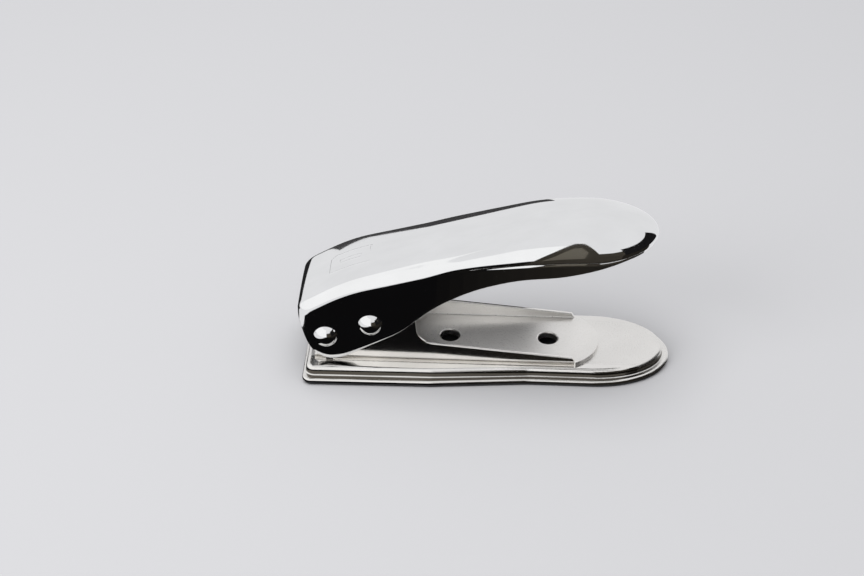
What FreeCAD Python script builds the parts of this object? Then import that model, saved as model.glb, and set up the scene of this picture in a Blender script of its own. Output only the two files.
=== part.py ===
"""Card blank hand punch: a pressed steel lever on two rivets drives a punch through a die.

Frame: millimetres, +Z up, origin at the middle of the underside, +X towards the lever's free end.
"""

import FreeCAD, Part
import math
import os
import Sketcher

V = FreeCAD.Vector

# ---------------------------------------------------------------------------------------------
# Driving sizes: name, value, what it is. Each one becomes an aliased cell of the sheet.
# ---------------------------------------------------------------------------------------------
SIZES = [
    ("sheet_gauge", 1.0, "thickness of the pressed sheets"),
    ("sole_thickness", 1.0, "rubber sole"),
    ("sole_inset", 0.4, "sole edge inside the flange edge"),
    ("rear_x", -53.0, "rear end of the base"),
    ("nose_x", 53.0, "front tip of the base"),
    ("nose_length", 22.4, "length of the half-ellipse at the front"),
    ("waist_x", -16.0, "where the base starts to narrow"),
    ("narrow_x", 12.0, "where it has its front width"),
    ("rear_half", 18.6, "half width at the rear end"),
    ("waist_half", 18.05, "half width where it starts to narrow"),
    ("front_half", 15.5, "half width in front"),
    ("waist_blend", 24.0, "radius of the bends in its sides"),
    ("flange_rear", 2.3, "width of the flange along the rear part"),
    ("flange_front", 1.9, "width of the flange round the front"),
    ("deck_top", 4.65, "height of the base's flat top"),
    ("deck_round", 1.2, "rounding of the deck's edge"),
    ("foot_round", 0.4, "hollow where the step meets the flange"),
    ("flange_round", 0.6, "rounded upper edge of the flange"),
    ("flange_end", 0.9, "width of the flange behind the deck"),
    ("bracket_rear", -49.8, "rear edge of the bracket"),
    ("bracket_front", 25.6, "front end of the low rails"),
    ("bracket_half", 11.3, "outer half width of the bracket"),
    ("bend_inner", 0.4, "inner radius of its bends"),
    ("tongue_tip", 32.4, "front tip of the tongue"),
    ("tongue_radius", 12.8, "radius of the tongue's round end"),
    ("hole_pitch", 28.6, "distance between the two floor holes"),
    ("hole_rear_x", -11.0, "rear floor hole"),
    ("hole_radius", 2.8, "radius of the floor holes"),
    ("hole_round", 0.45, "rolled edge of the floor holes"),
    ("wall_top", 22.4, "top of the tall walls"),
    ("pivot_x", -46.1, "pivot rivet"),
    ("pivot_z", 13.75, "pivot rivet"),
    ("drive_x", -33.25, "drive rivet with the lever up"),
    ("drive_z", 18.25, "drive rivet with the lever up"),
    ("shank_radius", 2.0, "radius of the rivet shanks"),
    ("head_radius", 3.5, "radius of the rivet heads"),
    ("head_height", 2.2, "height of the rivet heads"),
    ("stroke", 3.5, "travel of the punch"),
    ("lever_half", 13.3, "outer half width of the lever over the skirts"),
    ("press_x", -32.9, "middle of the punch"),
    ("blank_length", 15.0, "length of the punched blank"),
    ("blank_width", 12.0, "width of the punched blank"),
    ("blank_clip", 2.5, "clipped corner of the blank"),
    ("blank_round", 1.0, "rounded corners of the blank"),
    ("cut_gap", 0.05, "gap between punch and window, each side"),
    ("chute_gap", 0.6, "chute wider than the window, each side"),
    ("stack_rear", -49.0, "rear end of the die stack"),
    ("stack_front", -21.6, "front end of the die stack"),
    ("die_half", 9.8, "half width of the die"),
    ("die_height", 2.85, "thickness of the die"),
    ("slot_height", 1.0, "height of the card slot"),
    ("slot_half", 7.7, "half width of the card slot"),
    ("guide_half", 10.2, "half width of the guide plate"),
    ("guide_height", 2.0, "thickness of the guide plate"),
    ("stop_length", 1.1, "card stop, front to back"),
    ("screw_rear_x", -46.6, "rear pair of screws"),
    ("screw_front_x", -23.4, "front pair of screws"),
    ("screw_y", 8.65, "screws from the middle line"),
    ("screw_radius", 0.8, "screw shank radius"),
    ("screw_head_radius", 1.4, "screw head radius"),
    ("screw_head_height", 0.8, "screw head height"),
    ("post_dx", 6.6, "posts from the middle of the punch, along X"),
    ("post_y", 8.0, "posts from the middle line"),
    ("post_radius", 0.8, "guide post radius"),
    ("post_top", 21.4, "top of the guide posts"),
    ("post_gap", 0.05, "running clearance of the posts"),
    ("block_bottom", 15.3, "underside of the punch block, lever up"),
    ("block_top", 21.5, "top of the punch block, lever up"),
    ("block_half_x", 9.0, "half length of the punch block"),
    ("block_half_y", 10.1, "half width of the punch block"),
    ("pocket_radius", 1.8, "spring pocket radius"),
    ("pocket_top", 19.9, "ceiling of the spring pockets"),
    ("slot_before", 0.2, "drive slot behind the shank"),
    ("slot_after", 0.85, "drive slot ahead of the shank"),
    ("slot_fit", 0.1, "drive slot above and below the shank"),
    ("punch_bottom", 9.8, "cutting face, lever up"),
    ("punch_screw_dx", 5.4, "punch screws from the middle of the punch"),
    ("punch_screw_radius", 1.0, "punch screw shank radius"),
    ("punch_head_radius", 1.8, "punch screw head radius"),
    ("punch_head_height", 1.2, "punch screw head height"),
    ("punch_screw_depth", 3.0, "punch screw length inside the punch"),
    ("bush_radius", 3.0, "outer radius of the pivot bush"),
    ("bush_bore", 2.05, "bore of the pivot bush"),
    ("bush_flange_radius", 3.7, "radius of the bush flange"),
    ("bush_flange", 0.7, "thickness of the bush flange"),
    ("washer_radius", 3.8, "drive washer radius"),
    ("washer_height", 0.5, "drive washer thickness"),
    ("spring_radius", 1.32, "mean radius of the spring coils"),
    ("spring_wire", 0.22, "radius of the spring wire"),
    ("spring_turns", 6.0, "turns of the spring"),
    ("rear_corner", 2.6, "rounded rear corners of the base"),
    ("tall_front", -20.8, "front edge of the tall walls"),
    ("relief_radius", 1.2, "round relief at the walls' lower rear corner"),
    ("notch_x", -46.5, "small notch at the foot of the walls"),
    ("notch_length", 2.0, "length of that notch"),
    ("notch_height", 1.3, "height of that notch"),
    ("notch_depth", 1.4, "how far it reaches into the bend"),
    ("drive_swing", 0.73, "how far the drive rivet moves forward on its arc"),
    ("slot_room", 0.35, "room round the drive rivet in the bracket"),
    ("lever_rear", -54.2, "rear end of the lever"),
    ("lever_tip", 47.4, "front tip of the lever"),
    ("grip_half", 12.6, "half width of the lever at its waist"),
    ("spoon_half", 14.3, "half width of the lever's round front"),
    ("spoon_x", 28.0, "where the round front starts"),
    ("lever_round", 3.0, "rounding along the top edges of the lever"),
    ("lever_corner", 3.8, "plan radius of the lever's rear corners"),
    ("wall_round", 0.3, "rounded edges along the walls"),
    ("rear_slope_low", 12.8, "height where the walls' rear edge starts to lean forward"),
    ("rear_slope_run", 4.6, "how far it leans forward up to the top"),
    ("rear_slope_round", 4.0, "rounded corner at the top of that slope"),
    ("tall_round", 2.5, "rounded front corner of the tall walls"),
    ("tall_lean", 0.9, "how far the front edge of the tall walls leans forward"),
    ("rail_rear_top", 11.2, "height of the low rails at the rear"),
    ("rail_front_top", 7.1, "height of the low rails in front"),
    ("rail_corner", 5.0, "rounded corner between the tall walls and the low rails"),
    ("tongue_lap", 0.4, "how far the tongue runs back under the rails' front ends"),
    ("head_room", 0.1, "room round and above the screw heads"),
    ("post_tip", 0.4, "length of the posts' tapered tips"),
    ("post_taper", 0.3, "how much thinner the posts' tips end"),
    ("block_round", 0.5, "rounded upper edges of the punch block"),
    ("thread_room", 0.3, "room under the ends of the punch screws"),
    ("overcut", 1.0, "how far a cut runs past what it cuts"),
]

doc = FreeCAD.newDocument("card_punch")
sheet = doc.addObject("Spreadsheet::Sheet", "sizes")
for row, (name, value, note) in enumerate(SIZES, start=1):
    sheet.set("A%d" % row, name)
    sheet.set("B%d" % row, str(value))
    sheet.set("C%d" % row, note)
    sheet.setAlias("B%d" % row, name)
doc.recompute()
ALIASES = {name for name, value, note in SIZES}

# Heights and places worked out from the driving sizes, as expressions.
FLOOR_TOP = "( deck_top + sheet_gauge )"
DIE_TOP = "( deck_top + sheet_gauge + die_height )"
SLOT_TOP = "( deck_top + sheet_gauge + die_height + slot_height )"
GUIDE_TOP = "( deck_top + sheet_gauge + die_height + slot_height + guide_height )"
SIDES = (("left", "+"), ("right", "-"))
ON_EDGE = FreeCAD.Rotation(V(1, 0, 0), 90)
ALONG_Y = FreeCAD.Rotation(V(1, 0, 0), -90)
UPRIGHT = FreeCAD.Rotation()


def cell(expression):
    """Put the sheet's name before every alias in an expression."""
    return " ".join("sizes." + word if word in ALIASES else word for word in expression.split())


def amount(expression):
    """Value of an expression of driving sizes."""
    return float(sheet.evalExpression(cell(expression)))


# ---------------------------------------------------------------------------------------------
# Outlines
# ---------------------------------------------------------------------------------------------
def rounded(corners):
    """Closed chain of lines and tangent arcs through (x, y, radius) corners."""
    count = len(corners)
    bends = []
    for i, (x, y, radius) in enumerate(corners):
        here = V(x, y, 0)
        back = (V(*corners[i - 1][:2], 0) - here).normalize()
        ahead = (V(*corners[(i + 1) % count][:2], 0) - here).normalize()
        if radius == 0:
            bends.append((here, None, here))
            continue
        half = back.getAngle(ahead) / 2
        reach = radius / math.tan(half)
        inward = (back + ahead).normalize()
        crown = here + inward * (radius / math.sin(half) - radius)
        bends.append((here + back * reach, crown, here + ahead * reach))
    parts = []
    for i, (start, crown, end) in enumerate(bends):
        if crown is not None:
            parts.append(Part.Arc(start, crown, end))
        following = bends[(i + 1) % count][0]
        if (following - end).Length > 1e-6:
            parts.append(Part.LineSegment(end, following))
    return parts


def nosed(corners, centre_x, tip_x, half):
    """Outline through corners that ends in a half-ellipse nose on the +X side."""
    parts = rounded([(centre_x, half, 0)] + corners + [(centre_x, -half, 0)])[:-1]
    nose = Part.Ellipse(V(0, 0, 0), tip_x - centre_x, half)
    nose.Center = V(centre_x, 0, 0)
    parts.append(Part.ArcOfEllipse(nose, -math.pi / 2, math.pi / 2))
    return parts


def base_outline(inset_rear, inset_front, corner, end_inset):
    """Plan of the base: straight rear part, soft waist, narrower front, round nose."""
    rear_x = amount("rear_x") + end_inset
    rear = amount("rear_half") - inset_rear
    waist = amount("waist_half") - inset_rear
    front = amount("front_half") - inset_front
    centre_x = amount("nose_x - nose_length")
    side = [
        (amount("narrow_x"), front, amount("waist_blend")),
        (amount("waist_x"), waist, amount("waist_blend")),
        (rear_x, rear, corner),
    ]
    mirrored = [(x, -y, radius) for x, y, radius in reversed(side)]
    return nosed(side + mirrored, centre_x, amount("nose_x") - inset_front, front)


def blank_outline(gap):
    """Plan of the punched blank, grown by gap: round corners and one clipped corner."""
    x, y = amount("press_x"), 0.0
    dx, dy = amount("blank_length / 2") + gap, amount("blank_width / 2") + gap
    clip, bend = amount("blank_clip"), amount("blank_round")
    return rounded([
        (x - dx, y - dy, bend),
        (x + dx, y - dy, bend),
        (x + dx, y + dy, bend),
        (x - dx + clip, y + dy, 0),
        (x - dx, y + dy - clip, 0),
    ])


# ---------------------------------------------------------------------------------------------
# PartDesign bodies
# ---------------------------------------------------------------------------------------------
def new_body(label):
    body = doc.addObject("PartDesign::Body", label)
    body.Label = label
    return body


def new_sketch(body, name, height="0", parts=(), role="XY_Plane"):
    """Sketch on one of the body's own origin planes, moved along its normal by height."""
    plane = next(item for item in body.Origin.OriginFeatures if item.Role == role)
    sketch = body.newObject("Sketcher::SketchObject", body.Name + "_" + name)
    sketch.AttachmentSupport = [(plane, "")]
    sketch.MapMode = "FlatFace"
    sketch.setExpression(".AttachmentOffset.Base.z", cell(height))
    if parts:
        sketch.addGeometry(list(parts), False)
    return sketch


def bound(sketch, kind, where, expression):
    """Add a dimension to a sketch and bind it to the sheet."""
    index = sketch.addConstraint(Sketcher.Constraint(kind, *where, amount(expression)))
    sketch.setExpression("Constraints[%d]" % index, cell(expression))


def add_rectangle(sketch, left, right, low, high):
    """Rectangle between four expressions, each held from the sketch's origin."""
    x0, x1, y0, y1 = amount(left), amount(right), amount(low), amount(high)
    points = [V(x0, y0, 0), V(x1, y0, 0), V(x1, y1, 0), V(x0, y1, 0)]
    first = sketch.GeometryCount
    for i in range(4):
        sketch.addGeometry(Part.LineSegment(points[i], points[(i + 1) % 4]), False)
    for i in range(4):
        following = first + (i + 1) % 4
        sketch.addConstraint(Sketcher.Constraint("Coincident", first + i, 2, following, 1))
    for i in (0, 2):
        sketch.addConstraint(Sketcher.Constraint("Horizontal", first + i))
        sketch.addConstraint(Sketcher.Constraint("Vertical", first + i + 1))
    bound(sketch, "DistanceX", (-1, 1, first, 1), left)
    bound(sketch, "DistanceX", (-1, 1, first, 2), right)
    bound(sketch, "DistanceY", (-1, 1, first, 1), low)
    bound(sketch, "DistanceY", (-1, 1, first + 2, 1), high)


def add_circle(sketch, x, y, radius):
    """Circle held by its radius and its centre's distances from the sketch's origin."""
    centre = V(amount(x), amount(y), 0)
    index = sketch.addGeometry(Part.Circle(centre, V(0, 0, 1), amount(radius)), False)
    bound(sketch, "Radius", (index,), radius)
    bound(sketch, "DistanceX", (-1, 1, index, 3), x)
    if abs(centre.y) < 1e-9:
        sketch.addConstraint(Sketcher.Constraint("PointOnObject", index, 3, -1))
    else:
        bound(sketch, "DistanceY", (-1, 1, index, 3), y)


def pad(body, sketch, length):
    feature = body.newObject("PartDesign::Pad", sketch.Name + "_pad")
    feature.Profile = sketch
    feature.setExpression("Length", cell(length))
    doc.recompute()
    return feature


def pocket(body, sketch, depth, upward=False, both_ways=False):
    """Cut a sketch into the body and make sure that it removed something."""
    before = body.Shape.Volume
    feature = body.newObject("PartDesign::Pocket", sketch.Name + "_cut")
    feature.Profile = sketch
    feature.setExpression("Length", cell(depth))
    feature.Reversed = upward
    if both_ways:
        feature.SideType = "Symmetric"
    doc.recompute()
    if body.Shape.Volume > before - 1e-4:
        raise RuntimeError(feature.Name + " removed nothing")
    return feature


def round_edges(body, name, radius, chosen):
    """Round every edge of the body for which chosen(edge) is true."""
    base = body.Tip
    names = ["Edge%d" % (i + 1) for i, edge in enumerate(base.Shape.Edges) if chosen(edge)]
    feature = body.newObject("PartDesign::Fillet", body.Name + "_" + name)
    feature.Base = (base, names)
    feature.setExpression("Radius", cell(radius))
    doc.recompute()
    return feature


def level_at(height):
    """Test for edges that lie flat at a height."""
    def test(edge):
        box = edge.BoundBox
        return abs(box.ZMin - height) < 1e-4 and abs(box.ZMax - height) < 1e-4
    return test


# ---------------------------------------------------------------------------------------------
# Part primitives
# ---------------------------------------------------------------------------------------------
def cylinder(name, radius, height, x, y, z, turn=UPRIGHT):
    shape = doc.addObject("Part::Cylinder", name)
    shape.Placement = FreeCAD.Placement(V(0, 0, 0), turn)
    bindings = {"Radius": radius, "Height": height}
    bindings.update({".Placement.Base." + axis: at for axis, at in zip("xyz", (x, y, z))})
    for prop, expression in bindings.items():
        shape.setExpression(prop, cell(expression))
    return shape


def joined(kind, name, pieces):
    """Part::MultiFuse, Part::MultiCommon or Part::Compound of several pieces."""
    result = doc.addObject(kind, name)
    prop = "Links" if kind == "Part::Compound" else "Shapes"
    setattr(result, prop, pieces)
    return result


def cut(name, base, tool):
    result = doc.addObject("Part::Cut", name)
    result.Base = base
    result.Tool = tool
    return result


# ---------------------------------------------------------------------------------------------
# Openings that several plates share
# ---------------------------------------------------------------------------------------------
def add_screw_holes(sketch, radius, sides=SIDES):
    for x in ("screw_rear_x", "screw_front_x"):
        for side, sign in sides:
            add_circle(sketch, x, sign + " screw_y", radius)


def add_chute(sketch):
    """Rectangular drop-out for the blank, wider than the die window."""
    grow = "( cut_gap + chute_gap )"
    half_x = "( blank_length / 2 + " + grow + " )"
    half_y = "( blank_width / 2 + " + grow + " )"
    add_rectangle(sketch, "press_x - " + half_x, "press_x + " + half_x, "0 - " + half_y, half_y)


# ---------------------------------------------------------------------------------------------
# Base: rubber sole and pressed shell
# ---------------------------------------------------------------------------------------------
def make_sole():
    body = new_body("base_sole")
    inset = amount("sole_inset")
    plan = base_outline(inset, inset, amount("rear_corner"), inset)
    pad(body, new_sketch(body, "plan", parts=plan), "sole_thickness")
    chute = new_sketch(body, "chute", "sole_thickness")
    add_chute(chute)
    pocket(body, chute, "sole_thickness + overcut")


def make_base():
    body = new_body("base_shell")
    gauge = amount("sheet_gauge")
    corner = amount("rear_corner")
    step = (amount("flange_rear"), amount("flange_front"))
    flange = new_sketch(body, "flange", "sole_thickness", base_outline(0, 0, corner, 0))
    pad(body, flange, "sheet_gauge")
    flange_top = amount("sole_thickness + sheet_gauge")
    round_edges(body, "flange_edge", "flange_round", level_at(flange_top))
    deck_plan = base_outline(step[0], step[1], corner, amount("flange_end"))
    deck = new_sketch(body, "deck", "sole_thickness", deck_plan)
    pad(body, deck, "deck_top - sole_thickness")

    round_edges(body, "deck_edge", "deck_round", level_at(amount("deck_top")))
    foot = Part.Wire(Part.__sortEdges__([part.toShape() for part in deck_plan]))
    foot.translate(V(0, 0, flange_top))

    def at_foot(edge):
        middle = edge.valueAt((edge.FirstParameter + edge.LastParameter) / 2)
        return level_at(flange_top)(edge) and foot.distToShape(Part.Vertex(middle))[0] < 1e-3

    round_edges(body, "foot", "foot_round", at_foot)
    hollow_plan = base_outline(step[0] + gauge, step[1] + gauge, corner, amount("flange_end") + gauge)
    hollow = new_sketch(body, "hollow", "sole_thickness", hollow_plan)
    pocket(body, hollow, "deck_top - sheet_gauge - sole_thickness", upward=True)

    openings = new_sketch(body, "openings", "deck_top")
    add_chute(openings)
    for x in ("hole_rear_x", "hole_rear_x + hole_pitch"):
        add_circle(openings, x, "0", "hole_radius")
    add_screw_holes(openings, "screw_radius")
    pocket(body, openings, "sheet_gauge + overcut")


# ---------------------------------------------------------------------------------------------
# Bracket: U channel, tall at the rear, low rails and a round tongue in front
# ---------------------------------------------------------------------------------------------
def channel_section():
    """Section across X of the U: walls, floor and the two bends."""
    half, gauge, bend = amount("bracket_half"), amount("sheet_gauge"), amount("bend_inner")
    floor, top = amount("deck_top"), amount("wall_top + overcut")
    inner = half - gauge
    return rounded([
        (-half, floor, bend + gauge),
        (half, floor, bend + gauge),
        (half, top, 0),
        (inner, top, 0),
        (inner, floor + gauge, bend),
        (-inner, floor + gauge, bend),
        (-inner, top, 0),
        (-half, top, 0),
    ])


def wall_waste():
    """Side view of what is cut away above the walls."""
    rear, end = amount("bracket_rear - overcut"), amount("bracket_front + overcut")
    top, above = amount("wall_top"), amount("2 * wall_top")
    return rounded([
        (rear, above, 0),
        (rear, amount("rear_slope_low"), 0),
        (amount("bracket_rear + rear_slope_run"), top, amount("rear_slope_round")),
        (amount("tall_front"), top, amount("tall_round")),
        (amount("tall_front + tall_lean"), amount("rail_rear_top"), amount("rail_corner")),
        (amount("bracket_front - overcut"), amount("rail_front_top"), 0),
        (end, amount("deck_top - sheet_gauge"), 0),
        (end, above, 0),
    ])


def on_wall_edge(edge):
    """True for the long upper edges of the walls, inside and outside."""
    box = edge.BoundBox
    side = max(abs(box.YMin), abs(box.YMax))
    outer, inner = amount("bracket_half"), amount("bracket_half - sheet_gauge")
    on_face = box.YLength < 1e-4 and min(abs(side - outer), abs(side - inner)) < 1e-4
    return on_face and box.ZMin > amount("rail_front_top") - 1e-3 and box.XLength > 1e-3


def make_bracket():
    body = new_body("bracket")
    channel = new_sketch(body, "channel", "bracket_rear", channel_section(), "YZ_Plane")
    pad(body, channel, "bracket_front - bracket_rear")
    waste = new_sketch(body, "waste", parts=wall_waste(), role="XZ_Plane")
    pocket(body, waste, "4 * bracket_half", both_ways=True)
    round_edges(body, "wall_edges", "wall_round", on_wall_edge)

    start, half = amount("bracket_front - tongue_lap"), amount("bracket_half")
    tip = amount("tongue_tip")
    reach = math.sqrt(amount("tongue_radius") ** 2 - half ** 2)
    edge_x = tip - amount("tongue_radius") + reach
    tongue_plan = [
        Part.LineSegment(V(edge_x, half, 0), V(start, half, 0)),
        Part.LineSegment(V(start, half, 0), V(start, -half, 0)),
        Part.LineSegment(V(start, -half, 0), V(edge_x, -half, 0)),
        Part.Arc(V(edge_x, -half, 0), V(tip, 0, 0), V(edge_x, half, 0)),
    ]
    tongue = new_sketch(body, "tongue", "deck_top", tongue_plan)
    pad(body, tongue, "sheet_gauge")

    holes = new_sketch(body, "floor_holes", FLOOR_TOP)
    for x in ("hole_rear_x", "hole_rear_x + hole_pitch"):
        add_circle(holes, x, "0", "hole_radius")
    pocket(body, holes, "sheet_gauge + overcut")
    floor_top = amount(FLOOR_TOP)

    def at_rim(edge):
        return level_at(floor_top)(edge) and isinstance(edge.Curve, Part.Circle) and \
            abs(edge.Curve.Radius - amount("hole_radius")) < 1e-3

    round_edges(body, "rim", "hole_round", at_rim)
    openings = new_sketch(body, "openings", FLOOR_TOP)
    add_chute(openings)
    add_screw_holes(openings, "screw_radius")
    pocket(body, openings, "sheet_gauge + overcut")

    sides = new_sketch(body, "side_holes", role="XZ_Plane")
    add_circle(sides, "pivot_x", "pivot_z", "bush_radius")
    add_circle(sides, "bracket_rear", FLOOR_TOP + " + relief_radius", "relief_radius")
    pocket(body, sides, "4 * bracket_half", both_ways=True)

    notches = new_sketch(body, "foot_notches", "deck_top + notch_height")
    for low, high in (("bracket_half - notch_depth", "bracket_half + overcut"),
                      ("0 - bracket_half - overcut", "notch_depth - bracket_half")):
        add_rectangle(notches, "notch_x", "notch_x + notch_length", low, high)
    pocket(body, notches, "notch_height + overcut")

    reach = amount("shank_radius + slot_room")
    x0, x1 = amount("drive_x") - reach, amount("drive_x + drive_swing") + reach
    z0, z1 = amount("drive_z - stroke") - reach, amount("drive_z") + reach
    bend = 0.98 * reach
    slot_side = rounded([(x0, z0, bend), (x1, z0, bend), (x1, z1, bend), (x0, z1, bend)])
    slot = new_sketch(body, "drive_slot", parts=slot_side, role="XZ_Plane")
    pocket(body, slot, "4 * bracket_half", both_ways=True)


# ---------------------------------------------------------------------------------------------
# Die stack: die, card rails and stop, guide plate
# ---------------------------------------------------------------------------------------------
def make_plate(label, bottom, height, left, right, low, high):
    """Rectangular plate; returns its body."""
    body = new_body(label)
    plan = new_sketch(body, "plan", bottom)
    add_rectangle(plan, left, right, low, high)
    pad(body, plan, height)
    return body


def cut_window(body, top, depth):
    """Window that the punch passes through, larger than the blank by the cutting gap."""
    window = new_sketch(body, "window", top, blank_outline(amount("cut_gap")))
    pocket(body, window, depth)


def make_die():
    body = make_plate("die_block", FLOOR_TOP, "die_height",
                      "stack_rear", "stack_front", "0 - die_half", "die_half")
    cut_window(body, DIE_TOP, "die_height + overcut")
    holes = new_sketch(body, "screw_holes", DIE_TOP)
    add_screw_holes(holes, "screw_radius")
    pocket(body, holes, "die_height + overcut")


def make_rails():
    for side, sign in SIDES:
        low, high = ("slot_half", "guide_half") if sign == "+" else ("0 - guide_half", "0 - slot_half")
        body = make_plate("card_rail_" + side, DIE_TOP, "slot_height",
                          "stack_rear", "stack_front", low, high)
        holes = new_sketch(body, "screw_holes", SLOT_TOP)
        add_screw_holes(holes, "screw_radius", ((side, sign),))
        pocket(body, holes, "slot_height + overcut")
    make_plate("card_stop", DIE_TOP, "slot_height",
               "stack_rear", "stack_rear + stop_length", "0 - slot_half", "slot_half")


def make_guide():
    body = make_plate("guide_plate", SLOT_TOP, "guide_height",
                      "stack_rear", "stack_front", "0 - guide_half", "guide_half")
    cut_window(body, GUIDE_TOP, "guide_height + overcut")
    sinks = new_sketch(body, "screw_sinks", GUIDE_TOP)
    add_screw_holes(sinks, "screw_head_radius + head_room")
    pocket(body, sinks, "screw_head_height + head_room")
    holes = new_sketch(body, "holes", GUIDE_TOP)
    add_screw_holes(holes, "screw_radius")
    for along in ("-", "+"):
        for side, sign in SIDES:
            add_circle(holes, "press_x " + along + " post_dx", sign + " post_y", "post_radius")
    pocket(body, holes, "guide_height + overcut")


def make_screw(name, x, y, seat, shank, head, head_height, length):
    """Cheese-head screw: seat is the underside of its head, with a hexagon socket."""
    stem = cylinder(name + "_stem", shank, length, x, y, seat + " - " + length)
    cap = cylinder(name + "_cap", head, head_height, x, y, seat)
    socket = doc.addObject("Part::Prism", name + "_socket")
    socket.Polygon = 6
    socket.setExpression("Circumradius", cell(head + " / 2"))
    socket.setExpression("Height", cell(head_height))
    for axis, at in zip("xyz", (x, y, seat + " + " + head_height + " / 2")):
        socket.setExpression(".Placement.Base." + axis, cell(at))
    return cut(name, joined("Part::MultiFuse", name + "_blank", [stem, cap]), socket)


def make_die_screws():
    seat = "( " + GUIDE_TOP + " - screw_head_height - head_room )"
    length = "( " + GUIDE_TOP + " - screw_head_height - head_room - deck_top + sheet_gauge )"
    screws = []
    for place, x in (("rear", "screw_rear_x"), ("front", "screw_front_x")):
        for side, sign in SIDES:
            screws.append(make_screw("die_screw_" + place + "_" + side, x, sign + " screw_y", seat,
                                     "screw_radius", "screw_head_radius", "screw_head_height", length))
    joined("Part::Compound", "die_screws", screws)


def make_posts():
    posts = []
    for place, along in (("rear", "-"), ("front", "+")):
        for side, sign in SIDES:
            x, y = "press_x " + along + " post_dx", sign + " post_y"
            name = "guide_post_" + place + "_" + side
            height = "post_top - post_tip - " + SLOT_TOP
            stem = cylinder(name + "_stem", "post_radius", height, x, y, SLOT_TOP)
            tip = doc.addObject("Part::Cone", name + "_tip")
            bindings = {
                "Radius1": "post_radius", "Radius2": "post_radius - post_taper", "Height": "post_tip",
                ".Placement.Base.x": x, ".Placement.Base.y": y,
                ".Placement.Base.z": "post_top - post_tip",
            }
            for prop, expression in bindings.items():
                tip.setExpression(prop, cell(expression))
            posts.append(joined("Part::MultiFuse", name, [stem, tip]))
    joined("Part::Compound", "guide_posts", posts)


def make_springs():
    """Four compression springs, drawn at the length that they have with the lever up."""
    bottom = amount(GUIDE_TOP + " + spring_wire")
    rest = amount("pocket_top - " + GUIDE_TOP + " - 2 * spring_wire")
    radius, wire = amount("spring_radius"), amount("spring_wire")
    helix = Part.makeHelix(rest / amount("spring_turns"), rest, radius)
    start = Part.Wire(Part.makeCircle(wire, V(radius, 0, 0), V(0, 1, 0)))
    coil = Part.Wire(helix.Edges).makePipeShell([start], True, True)
    for place, along in (("rear", "-"), ("front", "+")):
        for side, sign in SIDES:
            spring = doc.addObject("Part::Feature", "return_spring_" + place + "_" + side)
            spring.Shape = coil
            x, y = amount("press_x " + along + " post_dx"), amount(sign + " post_y")
            spring.Placement = FreeCAD.Placement(V(x, y, bottom), UPRIGHT)


# ---------------------------------------------------------------------------------------------
# Punch block, punch and their screws
# ---------------------------------------------------------------------------------------------
def make_punch_block():
    body = make_plate("punch_block", "block_bottom", "block_top - block_bottom",
                      "press_x - block_half_x", "press_x + block_half_x",
                      "0 - block_half_y", "block_half_y")
    pockets = new_sketch(body, "spring_pockets", "block_bottom")
    bores = new_sketch(body, "post_bores", "block_top")
    for along in ("-", "+"):
        for side, sign in SIDES:
            x, y = "press_x " + along + " post_dx", sign + " post_y"
            add_circle(pockets, x, y, "pocket_radius")
            add_circle(bores, x, y, "post_radius + post_gap")
    pocket(body, pockets, "pocket_top - block_bottom", upward=True)
    pocket(body, bores, "block_top - block_bottom")
    slot = new_sketch(body, "drive_slot", role="XZ_Plane")
    add_rectangle(slot, "drive_x - shank_radius - slot_before", "drive_x + shank_radius + slot_after",
                  "drive_z - shank_radius - slot_fit", "drive_z + shank_radius + slot_fit")
    pocket(body, slot, "4 * block_half_y", both_ways=True)
    sinks = new_sketch(body, "screw_sinks", "block_top")
    holes = new_sketch(body, "screw_holes", "block_top")
    for along in ("-", "+"):
        x = "press_x " + along + " punch_screw_dx"
        add_circle(sinks, x, "0", "punch_head_radius + head_room")
        add_circle(holes, x, "0", "punch_screw_radius")
    pocket(body, sinks, "punch_head_height + head_room")
    pocket(body, holes, "block_top - block_bottom")
    corners = level_at(amount("block_top"))

    def outer_top(edge):
        box = edge.BoundBox
        return corners(edge) and max(box.XLength, box.YLength) > amount("block_half_x")

    round_edges(body, "top_edges", "block_round", outer_top)


def make_punch():
    body = new_body("punch")
    pad(body, new_sketch(body, "plan", "punch_bottom", blank_outline(0)), "block_bottom - punch_bottom")
    holes = new_sketch(body, "screw_holes", "block_bottom")
    for along in ("-", "+"):
        add_circle(holes, "press_x " + along + " punch_screw_dx", "0", "punch_screw_radius")
    pocket(body, holes, "punch_screw_depth + thread_room")


def make_punch_screws():
    seat = "( block_top - punch_head_height - head_room )"
    length = "( block_top - punch_head_height - head_room - block_bottom + punch_screw_depth )"
    screws = []
    for place, along in (("rear", "-"), ("front", "+")):
        screws.append(make_screw("punch_screw_" + place, "press_x " + along + " punch_screw_dx", "0", seat,
                                 "punch_screw_radius", "punch_head_radius", "punch_head_height", length))
    joined("Part::Compound", "punch_screws", screws)


# ---------------------------------------------------------------------------------------------
# Rivets, bushes and washers, all on axes along Y
# ---------------------------------------------------------------------------------------------
def make_rivet(label, x, z):
    """Shank across the lever with a low dome on each end."""
    shank = cylinder(label + "_shank", "shank_radius", "2 * lever_half", x, "0 - lever_half", z, ALONG_Y)
    ball_radius = "( head_radius * head_radius + head_height * head_height ) / ( 2 * head_height )"
    heads = []
    for side, sign in SIDES:
        ball = doc.addObject("Part::Sphere", label + "_ball_" + side)
        ball.setExpression("Radius", cell(ball_radius))
        middle = sign + " ( lever_half + head_height - " + ball_radius + " )"
        for axis, at in zip("xyz", (x, middle, z)):
            ball.setExpression(".Placement.Base." + axis, cell(at))
        start = "lever_half" if sign == "+" else "0 - lever_half - head_height"
        blank = cylinder(label + "_blank_" + side, "head_radius", "head_height", x, start, z, ALONG_Y)
        heads.append(joined("Part::MultiCommon", label + "_head_" + side, [ball, blank]))
    joined("Part::MultiFuse", label, [shank] + heads)


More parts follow.
